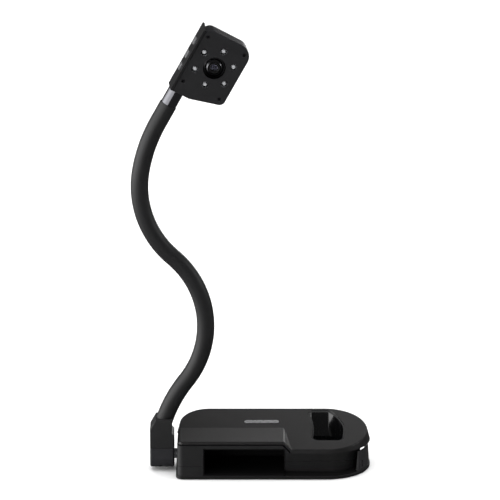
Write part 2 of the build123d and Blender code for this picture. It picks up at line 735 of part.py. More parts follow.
# ---------------------------------------------------------------- head casings
def head_outline(inset=0.0):
    """Front view of the head: big top corners and a sloping bottom edge."""
    left, right = HEAD_LEFT + inset, HEAD_RIGHT - inset
    bottom, top = HEAD_BOTTOM + inset, HEAD_TOP - inset
    slope_start, slope_end = (BOTTOM_SLOPE_START, bottom), (right, BOTTOM_SLOPE_END + inset)
    with BuildSketch() as outline:
        with BuildLine():
            Polyline((left, bottom), slope_start, slope_end, (right, top), (left, top), close=True)
        make_face()
        corners = outline.vertices()
        fillet(corners.group_by(Axis.Y)[-1].sort_by(Axis.X)[0], radius=8.8 - inset)
        fillet(outline.vertices().group_by(Axis.Y)[-1].sort_by(Axis.X)[-1], radius=13.3 - inset)
        fillet(outline.vertices().sort_by_distance(slope_end)[0], radius=6.1 - inset)
    return outline.sketch


LAMPS = [
    (LAMP_CIRCLE * cos(radians(angle)), LAMP_CIRCLE * sin(radians(angle)))
    for angle in range(30, 390, 60)
]
with BuildPart() as head_front_cover:
    with BuildSketch(HEAD.offset(HEAD_SPLIT)):
        add(head_outline())
    extrude(amount=HEAD_FACE - HEAD_SPLIT)
    face = head_front_cover.faces().sort_by(Axis(LENS, OUTWARD))[-1]
    chamfer(face.edges(), length=0.7)
    with BuildSketch(HEAD.offset(HEAD_SPLIT)):
        add(head_outline(HEAD_WALL))
        with Locations(*SCREW_SPOTS):
            Circle(3.2, mode=Mode.SUBTRACT)
    extrude(amount=HEAD_FACE - HEAD_WALL - HEAD_SPLIT, mode=Mode.SUBTRACT)
    with BuildSketch(HEAD.offset(HEAD_SPLIT)):
        Circle(LENS_HOLE)
        with Locations(*LAMPS):
            Circle(LAMP_HOLE)
        with Locations(*SCREW_SPOTS):
            Circle(1.75)
    extrude(amount=HEAD_FACE, mode=Mode.SUBTRACT)
    with BuildSketch(neck_plane(HEAD_BOTTOM - 1)):
        Circle(SPIGOT_RADIUS + 0.4)
    extrude(amount=HEAD_WALL + 1.0, mode=Mode.SUBTRACT)
    with BuildSketch(neck_plane(HEAD_BOTTOM + HEAD_WALL)):
        Circle(COLLAR_RADIUS + 0.1)
    extrude(amount=COLLAR_LENGTH + 2.0, mode=Mode.SUBTRACT)
save(head_front_cover, "head_front_cover")

with BuildPart() as head_rear_cover:
    with BuildSketch(HEAD.offset(HEAD_REAR)):
        add(head_outline())
    extrude(amount=HEAD_SPLIT - HEAD_REAR)
    back_face = head_rear_cover.faces().sort_by(Axis(LENS, OUTWARD))[0]
    fillet(back_face.edges(), radius=2.0)
    with BuildSketch(HEAD.offset(HEAD_REAR + HEAD_WALL)):
        add(head_outline(HEAD_WALL))
        with Locations(*SCREW_SPOTS):
            Circle(3.0, mode=Mode.SUBTRACT)
    extrude(amount=HEAD_FACE - HEAD_REAR, mode=Mode.SUBTRACT)
    with BuildSketch(HEAD.offset(HEAD_SPLIT - 11)):
        with Locations(*SCREW_SPOTS):
            Circle(1.55)
    extrude(amount=12, mode=Mode.SUBTRACT)
    with BuildSketch(neck_plane(HEAD_BOTTOM - 1)):
        Circle(SPIGOT_RADIUS + 0.4)
    extrude(amount=HEAD_WALL + 1.0, mode=Mode.SUBTRACT)
    with BuildSketch(neck_plane(HEAD_BOTTOM + HEAD_WALL)):
        Circle(COLLAR_RADIUS + 0.1)
    extrude(amount=COLLAR_LENGTH + 2.0, mode=Mode.SUBTRACT)
    with BuildSketch(head_side(HEAD_LEFT + HEAD_WALL + 1)):
        with Locations(*[(BUTTON_MIDDLE, height) for height in BUTTON_HEIGHTS]):
            Circle(2.0)
    extrude(amount=HEAD_WALL + 2, mode=Mode.SUBTRACT)
save(head_rear_cover, "head_rear_cover")

PLATE_INNER = HEAD_LEFT - 0.05
with BuildPart() as button_side_plate:
    with BuildSketch(head_side(PLATE_INNER)):
        with BuildLine():
            Polyline(
                (12.0, HEAD_BOTTOM + 0.2),
                (12.0, HEAD_TOP - 3.4),
                (-12.5, HEAD_TOP - 2.0),
                (-12.5, HEAD_BOTTOM + 0.2),
                close=True,
            )
        make_face()
        with Locations(*[(BUTTON_MIDDLE, height) for height in BUTTON_HEIGHTS]):
            RectangleRounded(BUTTON_SIZE[0] + 0.5, BUTTON_SIZE[1] + 0.5, 1.4, mode=Mode.SUBTRACT)
    extrude(amount=PLATE_THICK)
save(button_side_plate, "button_side_plate")

for number, height in enumerate(BUTTON_HEIGHTS, start=1):
    with BuildPart() as button:
        with BuildSketch(head_side(BUTTON_BACK)):
            with Locations((BUTTON_MIDDLE, height)):
                RectangleRounded(*BUTTON_SIZE, 1.2)
        extrude(amount=BUTTON_BACK - PLATE_INNER + PLATE_THICK + BUTTON_PROUD)
        cap = button.faces().sort_by(Axis(LENS, ACROSS))[0]
        fillet(cap.edges(), radius=0.6)
        with BuildSketch(head_side(BUTTON_BOARD - 0.7)):
            with Locations((BUTTON_MIDDLE, height)):
                Circle(1.6)
        extrude(amount=BUTTON_BOARD - 0.7 - BUTTON_BACK)
    save(button, f"button_{number}")

with BuildPart() as button_board:
    with BuildSketch(head_side(BUTTON_BOARD)):
        with Locations((BUTTON_MIDDLE, -1.0)):
            Rectangle(9.0, 42.0)
    extrude(amount=-1.2)
save(button_board, "button_board")

# ---------------------------------------------------------------- camera and lamps
SENSOR_BOARD = -3.0
with BuildPart() as sensor_board:
    with BuildSketch(HEAD.offset(SENSOR_BOARD)):
        RectangleRounded(34.0, 42.0, 2.0)
    extrude(amount=1.4)
save(sensor_board, "sensor_board")

with BuildPart() as image_sensor:
    with BuildSketch(HEAD.offset(SENSOR_BOARD + 1.4)):
        Rectangle(8.6, 8.6)
    extrude(amount=1.2)
save(image_sensor, "image_sensor")

PROFILE = Plane(origin=LENS, x_dir=ACROSS, z_dir=-UP)  # x across, y out of the face
OPTIC_AXIS = Axis(LENS, OUTWARD)
with BuildPart() as lens_barrel:
    with BuildSketch(PROFILE):
        with BuildLine():
            Polyline(
                (6.5, -1.6), (8.2, -1.6), (8.2, 3.4), (6.3, 3.4), (6.3, 9.0),
                (5.6, 9.7), (4.9, 9.7), (4.4, 9.0), (4.4, 3.0), (6.5, 1.0),
                close=True,
            )
        make_face()
    revolve(axis=OPTIC_AXIS)
save(lens_barrel, "lens_barrel")

with BuildPart() as lens_glass:
    with BuildSketch(HEAD.offset(6.6)):
        Circle(4.3)
    extrude(amount=2.0)
    fillet(lens_glass.faces().sort_by(OPTIC_AXIS)[-1].edges(), radius=1.2)
save(lens_glass, "lens_glass")

with BuildPart() as lens_ring:
    with BuildSketch(PROFILE):
        with BuildLine():
            Polyline(
                (6.6, 6.8), (11.35, 6.8), (11.35, 8.0),
                (9.6, 8.4), (6.9, 10.7), (6.6, 10.7),
                close=True,
            )
        make_face()
    revolve(axis=OPTIC_AXIS)
save(lens_ring, "lens_ring")

LAMP_BOARD = 5.0
with BuildPart() as led_board:
    with BuildSketch(HEAD.offset(LAMP_BOARD)):
        Circle(23.6)
        Circle(7.0, mode=Mode.SUBTRACT)
    extrude(amount=1.2)
save(led_board, "led_board")

with BuildPart() as led_lamps:
    with BuildSketch(HEAD.offset(LAMP_BOARD + 1.2)):
        with Locations(*LAMPS):
            Circle(LAMP_RADIUS)
    extrude(amount=3.4)
    tops = led_lamps.faces().group_by(Axis(LENS, OUTWARD))[-1]
    fillet(tops.edges(), radius=1.5)
save(led_lamps, "led_lamps")

with BuildPart() as led_wells:
    with BuildSketch(HEAD.offset(7.2)):
        with Locations(*LAMPS):
            Circle(LAMP_HOLE - 0.1)
    extrude(amount=3.5)
    with BuildSketch(HEAD.offset(7.2)):
        with Locations(*LAMPS):
            Circle(LAMP_RADIUS + 0.2)
    extrude(amount=3.6, taper=-15, mode=Mode.SUBTRACT)
save(led_wells, "led_wells")

with BuildPart() as head_screws:
    with BuildSketch(HEAD.offset(-6.0)):
        with Locations(*SCREW_SPOTS):
            Circle(1.5)
    extrude(amount=15.2)
save(head_screws, "head_screws")
print(f"swivel {neck_plane(0).origin} along {UP}, across {ACROSS}, outward {OUTWARD}")
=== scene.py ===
"""The looks of a document camera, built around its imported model. Metres, in the model's own frame."""

import json
import math

import bmesh
import bpy
from mathutils import Matrix, Vector


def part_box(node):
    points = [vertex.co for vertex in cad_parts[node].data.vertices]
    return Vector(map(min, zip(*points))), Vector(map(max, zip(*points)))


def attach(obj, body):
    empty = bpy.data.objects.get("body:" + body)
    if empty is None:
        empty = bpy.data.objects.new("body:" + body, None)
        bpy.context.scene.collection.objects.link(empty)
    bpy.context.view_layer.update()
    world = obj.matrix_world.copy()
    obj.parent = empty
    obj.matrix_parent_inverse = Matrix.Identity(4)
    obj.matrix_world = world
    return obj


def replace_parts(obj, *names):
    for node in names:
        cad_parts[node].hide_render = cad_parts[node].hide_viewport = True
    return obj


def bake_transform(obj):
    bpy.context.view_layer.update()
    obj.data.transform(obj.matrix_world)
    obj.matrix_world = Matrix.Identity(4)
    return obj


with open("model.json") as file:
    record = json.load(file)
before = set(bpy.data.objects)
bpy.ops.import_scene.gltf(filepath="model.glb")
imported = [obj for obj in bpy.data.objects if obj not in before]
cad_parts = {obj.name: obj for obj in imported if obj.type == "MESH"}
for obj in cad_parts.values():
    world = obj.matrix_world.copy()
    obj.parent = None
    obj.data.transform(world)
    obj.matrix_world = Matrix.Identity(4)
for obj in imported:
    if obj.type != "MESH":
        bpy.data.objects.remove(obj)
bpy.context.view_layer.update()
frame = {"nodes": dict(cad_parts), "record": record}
MM = 0.001

# ---- The arm's centre line, from the foot up ----
ARM_START = (-117.6 * MM, 34.0 * MM)
ARM_Y = -11.5 * MM
ARM_HEADING = 10.3  # degrees from upright
# Turn in degrees, to the right when positive, and radius in metres. A turn of 0 is a straight run.
ARM_BENDS = ((27.4, 0.1437), (-86.3, 0.0975), (58.2, 0.0991), (19.5, 0.1616), (0.0, 0.0215))
SEGMENTS = 8

# ---- Sheath of the gooseneck ----
SHEATH_RADIUS = 9.0 * MM
SHEATH_BORE = 6.2 * MM
NECK_SEAT = (8.4 * MM, 12.4 * MM)  # bore and depth of the sheath's end, where the neck goes in
SHEATH_LIP = 0.5 * MM  # rounding at the sheath's top end
SHEATH_RINGS = 32  # along one length
SHEATH_SIDES = 56
FEWEST_RINGS = 4
LIP_STEP = 15  # degrees between the rings of the lip
BLEND_MARGIN = 0.08  # share of a length in from each end of a bend piece; the points found there are not used

# ---- Camera and studio ----
TARGET = Vector((-24.13, -11.5, 236.64)) * MM
CAMERA_ELEVATION = 16.9
CAMERA_DISTANCE = 3.6
CAMERA_LENS = 254.4
SENSOR_WIDTH = 36.0
CLIP_NEAR, CLIP_FAR = 0.1, 60.0
FLOOR_HALF = 14.0
FLOOR_TONES = ((0.9, 0.9, 0.9), (0.93, 0.93, 0.93))
LEFT_LIGHT, DIM_LIGHT = 1.6, 0.08  # strength of the surroundings at the far left and elsewhere
LEFT_EDGE, DIM_EDGE = -1.0, -0.6  # where along X the first fades into the second
OVERHEAD_STRENGTH, OVERHEAD_SPREAD = 4.0, 90
SOFTBOXES = (  # name, place, size and power
    ("key_left", (-1.3, -0.75, 0.46), (3.0, 0.88), 18),
    ("back_strip", (0.25, 0.5, 0.4), (0.8, 0.2), 0.3),
    ("rim_back", (0.45, 1.7, 0.25), (0.6, 0.45), 5),
    ("fill_right", (1.5, -0.1, 0.7), (0.4, 0.5), 3),
)

# ---- Sizes of the patterns in the materials ----
MOTTLE_SIZE = 22 * MM
UNEVEN_SIZE = 3 * MM
RIPPLE_SIZE = 9 * MM
DUST_SIZE = 1.2 * MM
RUBBER_CLOUD = 30 * MM
MAT_CLOUD = 12 * MM
SPECKLE_SIZE = 0.8 * MM
HAZE_SIZE = 2 * MM
FLOOR_CLOUD = 0.6
BEVEL_SAMPLES = 4
SHARP_ANGLE = 35  # degrees between faces that makes their edge sharp


# ---------------------------------------------------------------- node helpers
class Surface:
    """A procedural material with one Principled shader, and the nodes that feed it."""

    def __init__(self, name, **sockets):
        self.material = bpy.data.materials.new(name)
        self.material.use_nodes = True
        self.tree = self.material.node_tree
        self.tree.nodes.clear()
        self.shader = self.add("ShaderNodeBsdfPrincipled")
        output = self.add("ShaderNodeOutputMaterial")
        self.link(self.shader.outputs["BSDF"], output.inputs["Surface"])
        self.place = self.add("ShaderNodeTexCoord").outputs["Object"]
        for socket, value in sockets.items():
            self.shader.inputs[socket.replace("_", " ")].default_value = value

    def add(self, kind, **settings):
        """A new node with its own settings."""
        node = self.tree.nodes.new(kind)
        for name, value in settings.items():
            setattr(node, name, value)
        return node

    def link(self, output, target):
        self.tree.links.new(output, target)

    def noise(self, size, detail=2.0, stretch=(1.0, 1.0, 1.0)):
        """Noise whose features are about size across, from 0 to 1."""
        mapping = self.add("ShaderNodeMapping")
        mapping.inputs["Scale"].default_value = [1.0 / (size * share) for share in stretch]
        self.link(self.place, mapping.inputs["Vector"])
        noise = self.add("ShaderNodeTexNoise")
        noise.inputs["Scale"].default_value = 1.0
        noise.inputs["Detail"].default_value = detail
        self.link(mapping.outputs["Vector"], noise.inputs["Vector"])
        return noise.outputs["Fac"]

    def ranged(self, value, low, high, start=0.3, end=0.7):
        """value, from start to end, turned into low to high."""
        node = self.add("ShaderNodeMapRange")
        for socket, number in zip(("From Min", "From Max", "To Min", "To Max"), (start, end, low, high)):
            node.inputs[socket].default_value = number
        self.link(value, node.inputs["Value"])
        return node.outputs["Result"]

    def mixed(self, share, first, second):
        """A colour between first and second."""
        node = self.add("ShaderNodeMix", data_type="RGBA")
        self.link(share, node.inputs["Factor"])
        for socket, colour in ((node.inputs[6], first), (node.inputs[7], second)):
            if isinstance(colour, bpy.types.NodeSocket):
                self.link(colour, socket)
            else:
                socket.default_value = (*colour, 1.0)
        return node.outputs[2]

    def edges(self, radius):
        """1 along sharp edges and 0 on open faces."""
        bevel = self.add("ShaderNodeBevel", samples=BEVEL_SAMPLES)
        bevel.inputs["Radius"].default_value = radius
        geometry = self.add("ShaderNodeNewGeometry")
        dot = self.add("ShaderNodeVectorMath", operation="DOT_PRODUCT")
        self.link(bevel.outputs["Normal"], dot.inputs[0])
        self.link(geometry.outputs["Normal"], dot.inputs[1])
        return self.ranged(dot.outputs["Value"], 1.0, 0.0, start=0.75, end=0.99)

    def bump(self, height, depth, under=None):
        """Relief of that depth, on top of another bump's normal."""
        node = self.add("ShaderNodeBump")
        node.inputs["Distance"].default_value = depth
        self.link(height, node.inputs["Height"])
        if under is not None:
            self.link(under, node.inputs["Normal"])
        return node.outputs["Normal"]

    def wear(self, colour, roughness, normal=None):
        """Join colour, roughness and normal to the shader."""
        self.link(colour, self.shader.inputs["Base Color"])
        self.link(roughness, self.shader.inputs["Roughness"])
        if normal is not None:
            self.link(normal, self.shader.inputs["Normal"])
        return self.material


def shade(colour, share):
    """The colour, lighter or darker."""
    return tuple(min(1.0, channel * share) for channel in colour)


def moulded(name, colour, roughness, grain=0.45 * MM, relief=0.018 * MM, edge=0.35 * MM, **sockets):
    """Moulded plastic: fine grain, faint mottling, and edges lightened by handling."""
    s = Surface(name, **sockets)
    mottle = s.noise(MOTTLE_SIZE, 4.0)
    body = s.mixed(s.ranged(mottle, 0.0, 1.0), shade(colour, 0.88), shade(colour, 1.12))
    worn = s.edges(edge)
    body = s.mixed(worn, body, shade(colour, 1.9))
    fine = s.noise(grain, 3.0)
    rough = s.ranged(fine, roughness - 0.05, roughness + 0.06)
    return s.wear(body, rough, s.bump(fine, relief, s.bump(s.noise(UNEVEN_SIZE), relief)))


def glossy(name, colour, roughness, **sockets):
    """Polished plastic with a faint ripple and an uneven gloss."""
    s = Surface(name, **sockets)
    ripple = s.noise(RIPPLE_SIZE, 1.0)
    body = s.mixed(s.ranged(ripple, 0.0, 1.0), shade(colour, 0.9), shade(colour, 1.1))
    rough = s.ranged(s.noise(DUST_SIZE, 4.0), roughness, roughness + 0.07)
    return s.wear(body, rough, s.bump(ripple, 0.02 * MM))


def metal(name, colour, roughness, stretch=(1.0, 1.0, 1.0), relief=0.004 * MM, scratch=0.5 * MM, **sockets):
    """Bare or plated metal with tool marks drawn out along its grain."""
    s = Surface(name, Metallic=1.0, **sockets)
    marks = s.noise(scratch, 4.0, stretch)
    body = s.mixed(s.ranged(marks, 0.0, 1.0), shade(colour, 0.85), shade(colour, 1.1))
    rough = s.ranged(marks, max(0.02, roughness - 0.06), roughness + 0.08)
    return s.wear(body, rough, s.bump(marks, relief))


def rubber(name, colour, roughness, grain=0.6 * MM, relief=0.03 * MM, **sockets):
    """Matt rubber with a soft skin and faint cloudiness."""
    s = Surface(name, **sockets)
    cloud = s.noise(RUBBER_CLOUD, 5.0)
    body = s.mixed(s.ranged(cloud, 0.0, 1.0), shade(colour, 0.86), shade(colour, 1.16))
    skin = s.noise(grain, 5.0)
    rough = s.ranged(skin, roughness - 0.06, min(1.0, roughness + 0.08))
    return s.wear(body, rough, s.bump(skin, relief))


def ribbed_rubber(name, colour, roughness, pitch=1.6 * MM, depth=0.12 * MM):
    """The mat under the base: fine moulded ribs that grip the table."""
    s = Surface(name, Specular_IOR_Level=0.3)
    ribs = s.add("ShaderNodeTexWave", bands_direction="DIAGONAL")
    ribs.inputs["Scale"].default_value = 1.0 / (pitch * 6)
    s.link(s.place, ribs.inputs["Vector"])
    cloud = s.noise(MAT_CLOUD, 4.0)
    body = s.mixed(s.ranged(cloud, 0.0, 1.0), shade(colour, 0.8), shade(colour, 1.2))
    rough = s.ranged(cloud, roughness - 0.05, roughness + 0.05)
    return s.wear(body, rough, s.bump(ribs.outputs["Fac"], depth))


def board(name, mask, copper):
    """A circuit board: solder mask over faint tracks."""
    s = Surface(name, Coat_Weight=0.3)
    cells = s.add("ShaderNodeTexBrick")
    cells.inputs["Scale"].default_value = 240.0
    cells.inputs["Mortar Size"].default_value = 0.08
    s.link(s.place, cells.inputs["Vector"])
    tracks = s.mixed(cells.outputs["Fac"], mask, copper)
    speckle = s.noise(SPECKLE_SIZE)
    return s.wear(tracks, s.ranged(speckle, 0.3, 0.45), s.bump(cells.outputs["Fac"], 0.03 * MM))


def clear(name, tint, roughness, ior, **sockets):
    """Clear glass or plastic with the faintest haze."""
    s = Surface(name, **{"Transmission_Weight": 1.0, "IOR": ior, **sockets})
    haze = s.noise(HAZE_SIZE)
    body = s.mixed(s.ranged(haze, 0.0, 1.0), shade(tint, 0.96), tint)
    return s.wear(body, s.ranged(haze, roughness, roughness + 0.03))


MATERIALS = {
    "mat_rubber": ribbed_rubber("mat_rubber", (0.012, 0.012, 0.013), 0.8),
    "painted_plate": moulded("painted_plate", (0.005, 0.005, 0.0052), 0.5, grain=0.3 * MM),
    "fastener_steel": metal("fastener_steel", (0.58, 0.58, 0.6), 0.3),
    "dark_screw_steel": metal("dark_screw_steel", (0.05, 0.05, 0.055), 0.4),
    "housing_plastic": moulded("housing_plastic", (0.0085, 0.0085, 0.009), 0.5),
    "cover_plastic": moulded("cover_plastic", (0.008, 0.0077, 0.0079), 0.38),
    "badge_metal": metal("badge_metal", (0.82, 0.82, 0.84), 0.3, (8.0, 1.0, 1.0)),
    "gloss_liner": glossy("gloss_liner", (0.003, 0.003, 0.0033), 0.1),
    "bay_plastic": moulded("bay_plastic", (0.0035, 0.0035, 0.0037), 0.6, Specular_IOR_Level=0.2),
    "guard_plastic": moulded("guard_plastic", (0.015, 0.015, 0.016), 0.42),
    "circuit_board": board("circuit_board", (0.01, 0.07, 0.03), (0.03, 0.13, 0.06)),
    "lamp_board": board("lamp_board", (0.008, 0.008, 0.009), (0.02, 0.02, 0.022)),
    "socket_metal": metal("socket_metal", (0.6, 0.6, 0.62), 0.25),
    "counterweight_steel": metal("counterweight_steel", (0.16, 0.16, 0.165), 0.5),
    "bush_brass": metal("bush_brass", (0.72, 0.52, 0.24), 0.28),
    "bracket_steel": metal("bracket_steel", (0.5, 0.5, 0.52), 0.35, (1.0, 8.0, 1.0)),
    "shaft_steel": metal("shaft_steel", (0.5, 0.5, 0.53), 0.22, (1.0, 6.0, 6.0)),
    "core_steel": metal("core_steel", (0.4, 0.4, 0.42), 0.4),
    "knuckle_plastic": moulded("knuckle_plastic", (0.016, 0.016, 0.019), 0.48),
    "boot_plastic": moulded("boot_plastic", (0.012, 0.012, 0.0125), 0.5),
    "sleeve_rubber": rubber("sleeve_rubber", (0.009, 0.009, 0.0096), 0.46, Specular_IOR_Level=0.45),
    "neck_chrome": metal("neck_chrome", (0.15, 0.15, 0.162), 0.14, relief=0.0015 * MM),
    "head_plastic": moulded("head_plastic", (0.0105, 0.0105, 0.0118), 0.48),
    "side_plate_plastic": moulded("side_plate_plastic", (0.008, 0.008, 0.0085), 0.34),
    # The buttons' light grey base colour is a painted highlight, standing in for the gloss highlights on
    # their rounded tops.
    "button_plastic": moulded("button_plastic", (0.12, 0.12, 0.123), 0.22),
    "sensor_glass": glossy("sensor_glass", (0.02, 0.012, 0.04), 0.08),
    "lens_black": moulded("lens_black", (0.006, 0.006, 0.0065), 0.35),
    "lens_glass": clear("lens_glass", (0.42, 0.42, 0.55), 0.02, 1.6),
    "lens_ring_metal": metal("lens_ring_metal", (0.11, 0.11, 0.115), 0.18, relief=0.002 * MM),
    "lamp_clear": clear(
        "lamp_clear", (0.6, 0.61, 0.63), 0.05, 1.45, Transmission_Weight=0.35, Coat_Weight=0.6,
    ),
    "lamp_reflector": metal("lamp_reflector", (0.3, 0.3, 0.31), 0.22, relief=0.002 * MM),
}
SLOT_OF = {part["node"]: part["material_slot"] for part in frame["record"]["subparts"]}


def paint(obj, slot):
    """Give an object one of the materials."""
    obj.data.materials.clear()
    obj.data.materials.append(MATERIALS[slot])


for node, cad in frame["nodes"].items():
    paint(cad, SLOT_OF[node])


# ---------------------------------------------------------------- mesh helpers
def mesh_object(name, points, faces, slot, matrix=None):
    """A new piece from its points and faces, with smooth faces and sharp corners."""
    mesh = bpy.data.meshes.new(name)
    mesh.from_pydata([tuple(point) for point in points], [], faces)
    if matrix is not None:
        mesh.transform(matrix)
    shaped = bmesh.new()
    shaped.from_mesh(mesh)
    bmesh.ops.recalc_face_normals(shaped, faces=shaped.faces)
    shaped.to_mesh(mesh)
    shaped.free()
    mesh.shade_smooth()
    mesh.set_sharp_from_angle(angle=math.radians(SHARP_ANGLE))
    piece = bpy.data.objects.new(name, mesh)
    bpy.context.scene.collection.objects.link(piece)
    paint(piece, slot)
    return piece


def joined_rings(count, sides, closed=False):
    """Faces between rings of points. closed joins the last ring to the first."""
    faces = []
    for ring in range(count if closed else count - 1):
        low, high = ring * sides, (ring + 1) % count * sides
        for side in range(sides):
            beside = (side + 1) % sides
            faces.append((low + side, low + beside, high + beside, high + side))
    return faces


# ---------------------------------------------------------------- gooseneck
def arm_place(distance):
    """Place and heading on the arm's centre line, at a distance along it from the foot."""
    x, z = ARM_START
    heading = math.radians(ARM_HEADING)
    for turn, size in ARM_BENDS:
        side = (turn > 0) - (turn < 0)
        run = min(distance, size * (math.radians(abs(turn)) if side else 1))
        if side:
            swing = side * run / size
            x += side * size * (math.cos(heading) - math.cos(heading + swing))
            z += side * size * (math.sin(heading + swing) - math.sin(heading))
            heading += swing
        else:
            x += run * math.sin(heading)
            z += run * math.cos(heading)
        distance -= run
    return Vector((x, ARM_Y, z)), heading


ARM_LENGTH = sum(size * (math.radians(abs(turn)) if turn else 1) for turn, size in ARM_BENDS)
STEP = ARM_LENGTH / SEGMENTS


def arm_ring(distance, radius):
    """A ring of points round the arm's centre line."""
    centre, heading = arm_place(distance)
    across = Vector((math.cos(heading), 0, -math.sin(heading)))
    depth = Vector((0, 1, 0))
    angles = [2 * math.pi * side / SHEATH_SIDES for side in range(SHEATH_SIDES)]
    return [centre + (across * math.cos(a) + depth * math.sin(a)) * radius for a in angles]


def sheath(name, start, end):
    """A hollow stretch of the sheath, with a rounded lip and the neck's seat at the arm's top end."""
    count = max(FEWEST_RINGS, round(SHEATH_RINGS * (end - start) / STEP))
    stops = [start + (end - start) * ring / count for ring in range(count + 1)]
    profile = [(stop, SHEATH_RADIUS) for stop in stops]
    at_top = end > ARM_LENGTH - STEP / 4
    if at_top:
        profile = [spot for spot in profile if spot[0] < end - SHEATH_LIP]
        for angle in range(0, 91, LIP_STEP):
            turned = math.radians(angle)
            profile.append((
                end - SHEATH_LIP * (1 - math.sin(turned)),
                SHEATH_RADIUS - SHEATH_LIP * (1 - math.cos(turned)),
            ))
        bore, depth = NECK_SEAT
        inner = [(stop, bore if stop > end - depth else SHEATH_BORE) for stop in reversed(stops)]
    else:
        inner = [(stop, SHEATH_BORE) for stop in reversed(stops)]
    profile += inner
    points = [point for stop, radius in profile for point in arm_ring(stop, radius)]
    return mesh_object(name, points, joined_rings(len(profile), SHEATH_SIDES, closed=True), "sleeve_rubber")


def make_sheath():
    """Smooth stretches from the middle of each length to the next, each running over one joint. Only the end
    stretches ride on a body.
    """
    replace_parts(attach(sheath("sheath_foot", 0.0, STEP / 2), "arm_foot"), "sleeve_1")
    for number in range(1, SEGMENTS):
        start, end = (number - 0.5) * STEP, (number + 0.5) * STEP
        piece = sheath(f"sheath_bend_{number}", start, end)
        low, high = (arm_place(stop)[0] for stop in (start + BLEND_MARGIN * STEP, end - BLEND_MARGIN * STEP))
        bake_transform(piece)
        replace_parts(piece, f"sleeve_{number + 1}")
    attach(sheath("sheath_top", (SEGMENTS - 0.5) * STEP, ARM_LENGTH), f"arm_{SEGMENTS}")


make_sheath()


# ---------------------------------------------------------------- small details
def circle(radius, centre=(0.0, 0.0), sides=48):
    """An outline round a centre, in millimetres."""
    x, y = centre
    angles = [2 * math.pi * side / sides for side in range(sides)]
    return [(x + radius * math.cos(a), y + radius * math.sin(a)) for a in angles]


def cross(reach, half, centre=(0.0, 0.0)):
    """The outline of a cross recess, in millimetres."""
    x, y = centre
    quarter = [(reach, -half), (reach, half), (half, half)]
    outline = []
    for _ in range(4):
        outline += quarter
        quarter = [(-b, a) for a, b in quarter]
    return [(x + a, y + b) for a, b in outline]


def bar(width, height, centre=(0.0, 0.0)):
    """A rectangle's outline, in millimetres."""
    x, y = centre
    return [(x + a * width / 2, y + b * height / 2) for a, b in ((-1, -1), (1, -1), (1, 1), (-1, 1))]


def stamped(name, outlines, thick, roll, slot, matrix, body):
    """A thin piece with rolled edges. An outline inside another is a hole. Rides on a body."""
    curve = bpy.data.curves.new(name, "CURVE")
    curve.dimensions = "2D"
    curve.fill_mode = "BOTH"
    curve.extrude = (thick / 2 - roll) * MM
    curve.bevel_depth = roll * MM
    curve.offset = -roll * MM
    curve.bevel_resolution = 2
    for outline in outlines:
        spline = curve.splines.new("POLY")
        spline.points.add(len(outline) - 1)
        for point, (x, y) in zip(spline.points, outline):
            point.co = (x * MM, y * MM, 0.0, 1.0)
        spline.use_cyclic_u = True
    shape = bpy.data.objects.new(name, curve)
    bpy.context.scene.collection.objects.link(shape)
    mesh = bpy.data.meshes.new_from_object(shape.evaluated_get(bpy.context.evaluated_depsgraph_get()))
    bpy.data.objects.remove(shape)
    points = [vertex.co.copy() for vertex in mesh.vertices]
    faces = [tuple(face.vertices) for face in mesh.polygons]
    lift = Matrix.Translation((0, 0, thick / 2 * MM))
    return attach(mesh_object(name, points, faces, slot, matrix @ lift), body)


JOINTS = {joint["name"]: joint for joint in frame["record"]["behaviour"]["joints"]}
UP = Vector(JOINTS["head_swivel"]["axis"]).normalized()
ACROSS = Vector(JOINTS["button_1_press"]["axis"]).normalized()
OUTWARD = ACROSS.cross(UP)

# ---- Details, in millimetres. A sheet is a piece's thickness and the rolling of its edges ----
GLASS_MIDDLE = 7.6  # of the lens glass, out from the head's own middle
SCREW_TOP = 9.2
SCREW_SPOTS = ((-21.5, 25.8), (20.0, 25.8), (-21.5, -26.0), (20.0, -26.0))
SCREW_RADIUS = 1.45
SCREW_CROSS = (0.95, 0.22)  # reach and half width
SCREW_SHEET = (0.5, 0.1)
RETAINER_RADII = (4.36, 3.5)
RETAINER_OUT = 8.62
RETAINER_SHEET = (0.45, 0.12)
IRIS_RADII = (4.3, 1.3)
IRIS_OUT = 6.2
IRIS_SHEET = (0.3, 0.08)
BOARD_TOP = 6.2
LAMPS, LAMP_START = 6, 30
LAMP_CIRCLE = 19.4
CHIP_SIDE = 1.3
CHIP_SHEET = (0.3, 0.06)
MARK_RADII = (0.9, 1.7)
MARK_BAR = (3.0, 0.7)
MARK_SHEET = (0.14, 0.04)
MARK_LIFT = 0.05
CONTACT_ROW = (-1.8, -0.6, 0.6, 1.8)
CONTACT_SIZE = (0.7, 4.0)
CONTACT_SHEET = (0.12, 0.03)
CONTACT_IN, CONTACT_LIFT = 4.2, 0.5  # in from the socket's mouth and up from its middle


def middle_of(node):
    """The middle of a node's box."""
    low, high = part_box(node)
    return (Vector(low) + Vector(high)) / 2


def placed(origin, right, up):
    """A matrix whose first two axes are right and up."""
    turned = Matrix((right, up, right.cross(up))).transposed().to_4x4()
    return Matrix.Translation(origin) @ turned


LENS = middle_of("lens_glass") - OUTWARD * GLASS_MIDDLE * MM


def head_place(x, y, out):
    """A place on the head's face, in millimetres from the lens."""
    return placed(LENS + (ACROSS * x + UP * y + OUTWARD * out) * MM, ACROSS, UP)


def first_hit(node, start, way):
    """Where a ray from start first meets a node, or start where it doesn't."""
    found, spot, _, _ = frame["nodes"][node].ray_cast(start, way)
    return spot if found else start


def make_screw_faces():
    """The tops of the head's screws, each with a cross recess."""
    for number, (x, y) in enumerate(SCREW_SPOTS, start=1):
        stamped(
            f"head_screw_face_{number}", [circle(SCREW_RADIUS), cross(*SCREW_CROSS)], *SCREW_SHEET,
            "dark_screw_steel", head_place(x, y, SCREW_TOP), "head",
        )


